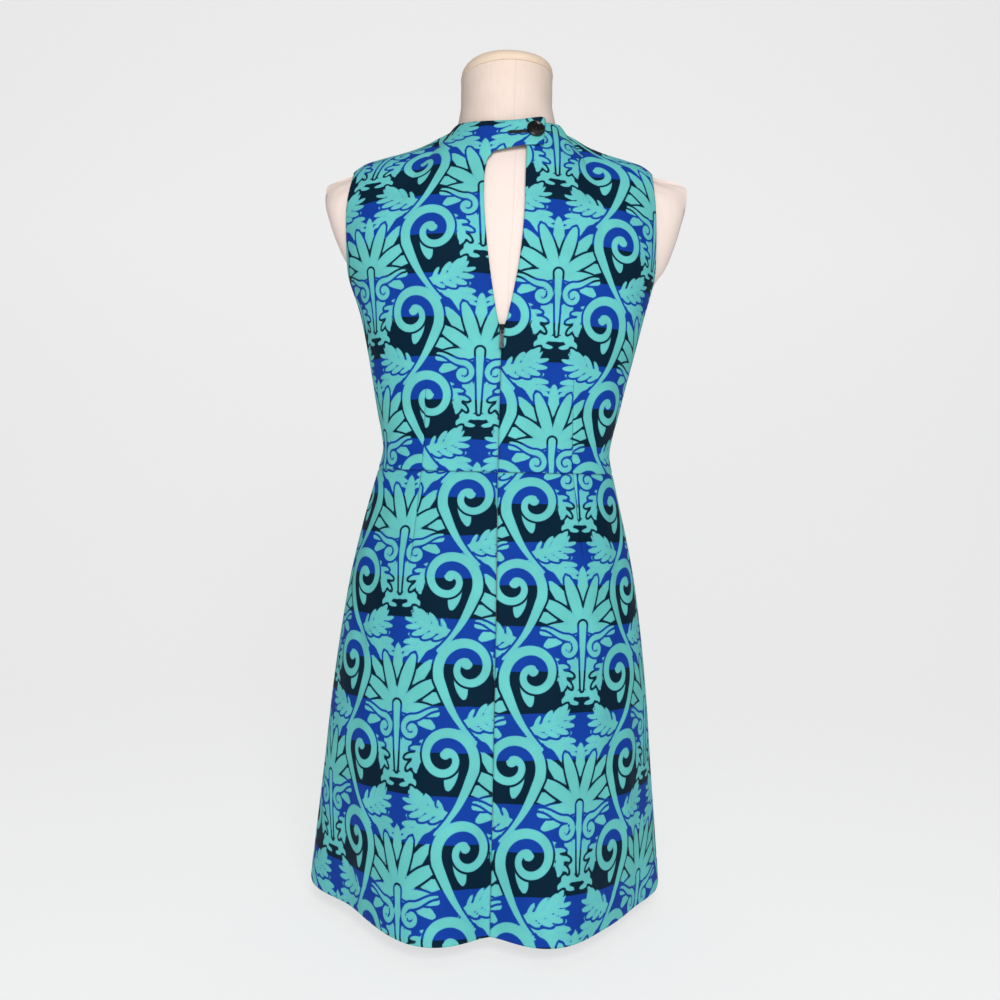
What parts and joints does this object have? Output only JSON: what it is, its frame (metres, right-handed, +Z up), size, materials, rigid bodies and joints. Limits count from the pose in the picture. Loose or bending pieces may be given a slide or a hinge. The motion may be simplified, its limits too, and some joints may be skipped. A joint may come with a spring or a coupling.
{
  "type": "a-line dress on a dress form",
  "caption": "Sleeveless a-line dress with a buttoned neck tab, a back keyhole and a centre-back zip, worn by a limbless dress form on a low round stand.",
  "frame": {"origin": "middle of the stand's underside", "axes": "+Z is up; the garment's back faces -Y and its front +Y, so seen from behind +X is to the right"},
  "size_m": [0.4086, 0.3662, 0.9478],
  "materials": {
    "printed_cloth": "matt woven stretch cloth, printed in teal, royal blue and navy",
    "button_black": "glossy moulded plastic",
    "zip_black": "glossy black enamel on metal",
    "form_linen": "fine natural linen, drawn tight",
    "cap_linen": "fine natural linen, drawn tight",
    "stand_metal": "brushed steel tube",
    "base_enamel": "satin off-white enamel"
  },
  "bodies": {
    "dress_on_form": {"back_bodice_left": "printed_cloth", "back_bodice_right": "printed_cloth", "front_bodice": "printed_cloth", "back_skirt_left": "printed_cloth", "back_skirt_right": "printed_cloth", "front_skirt": "printed_cloth", "neck_button": "button_black", "zip_slider": "zip_black", "form_torso": "form_linen", "form_neck_cap": "cap_linen", "stand_base": "base_enamel", "stand_pole": "stand_metal"},
    "zip_pull": {"zip_pull_tab": "zip_black"}
  },
  "joints": [
    {"name": "zip_pull_hinge", "type": "hinge", "parent": "dress_on_form", "child": "zip_pull", "pos_m": [0, -0.10541, 0.62781], "axis": [-1, 0, 0], "range_deg": [0, 150]}
  ]
}
